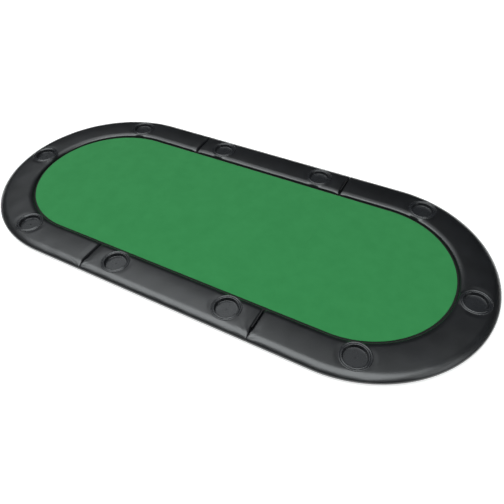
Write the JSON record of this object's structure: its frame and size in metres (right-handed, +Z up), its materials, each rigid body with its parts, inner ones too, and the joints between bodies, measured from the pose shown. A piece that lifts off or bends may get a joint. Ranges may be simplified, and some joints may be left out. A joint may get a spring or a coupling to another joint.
{
  "type": "folding poker table top",
  "caption": "Oval poker table top in three hinged sections, with a green felt field inside a padded black rail that holds round drop-in cup holders.",
  "frame": {"origin": "centre of the oval at the height of the surface that the feet stand on", "axes": "+X along the table towards the section that folds over, +Y across it, +Z up out of the felt"},
  "size_m": [2.018, 0.914, 0.0364],
  "materials": {
    "vinyl": "fine-grained black upholstery vinyl, satin",
    "rail_foam": "cut polyurethane foam",
    "fibreboard": "fibreboard with black paper face",
    "felt": "short-napped green felt",
    "underlay_foam": "thin foam sheet",
    "cup_plastic": "moulded black plastic",
    "foot_rubber": "black rubber",
    "screw_steel": "zinc-plated steel",
    "hinge_steel": "black-coated steel",
    "pin_steel": "bright steel"
  },
  "bodies": {
    "centre_section": {"centre_board": "fibreboard", "centre_far_left_cup": "cup_plastic", "centre_far_right_cup": "cup_plastic", "centre_feet": "foot_rubber", "centre_felt": "felt", "centre_foot_screws": "screw_steel", "centre_near_left_cup": "cup_plastic", "centre_near_right_cup": "cup_plastic", "centre_rail_screws": "screw_steel", "centre_underlay": "underlay_foam", "far_rail_core": "fibreboard", "far_rail_cover": "vinyl", "far_rail_foam": "rail_foam", "near_rail_core": "fibreboard", "near_rail_cover": "vinyl", "near_rail_foam": "rail_foam", "over_far_fixed_leaf": "hinge_steel", "over_far_hinge_pin": "pin_steel", "over_fixed_screws": "screw_steel", "over_near_fixed_leaf": "hinge_steel", "over_near_hinge_pin": "pin_steel", "under_far_fixed_leaf": "hinge_steel", "under_far_hinge_pin": "pin_steel", "under_fixed_screws": "screw_steel", "under_near_fixed_leaf": "hinge_steel", "under_near_hinge_pin": "pin_steel"},
    "left_section": {"left_board": "fibreboard", "left_far_cup": "cup_plastic", "left_feet": "foot_rubber", "left_felt": "felt", "left_foot_screws": "screw_steel", "left_near_cup": "cup_plastic", "left_rail_core": "fibreboard", "left_rail_cover": "vinyl", "left_rail_foam": "rail_foam", "left_rail_screws": "screw_steel", "left_tip_cup": "cup_plastic", "left_underlay": "underlay_foam", "under_far_moving_leaf": "hinge_steel", "under_moving_screws": "screw_steel", "under_near_moving_leaf": "hinge_steel"},
    "right_section": {"over_far_moving_leaf": "hinge_steel", "over_moving_screws": "screw_steel", "over_near_moving_leaf": "hinge_steel", "right_board": "fibreboard", "right_far_cup": "cup_plastic", "right_feet": "foot_rubber", "right_felt": "felt", "right_foot_screws": "screw_steel", "right_near_cup": "cup_plastic", "right_rail_core": "fibreboard", "right_rail_cover": "vinyl", "right_rail_foam": "rail_foam", "right_rail_screws": "screw_steel", "right_tip_cup": "cup_plastic", "right_underlay": "underlay_foam"}
  },
  "joints": [
    {"name": "left_fold", "type": "hinge", "parent": "centre_section", "child": "left_section", "pos_m": [-0.3385, 0, 0.0027], "axis": [0, -1, 0], "range_deg": [0, 180]},
    {"name": "right_fold", "type": "hinge", "parent": "centre_section", "child": "right_section", "pos_m": [0.3385, 0, 0.0339], "axis": [0, -1, 0], "range_deg": [0, 180]}
  ]
}
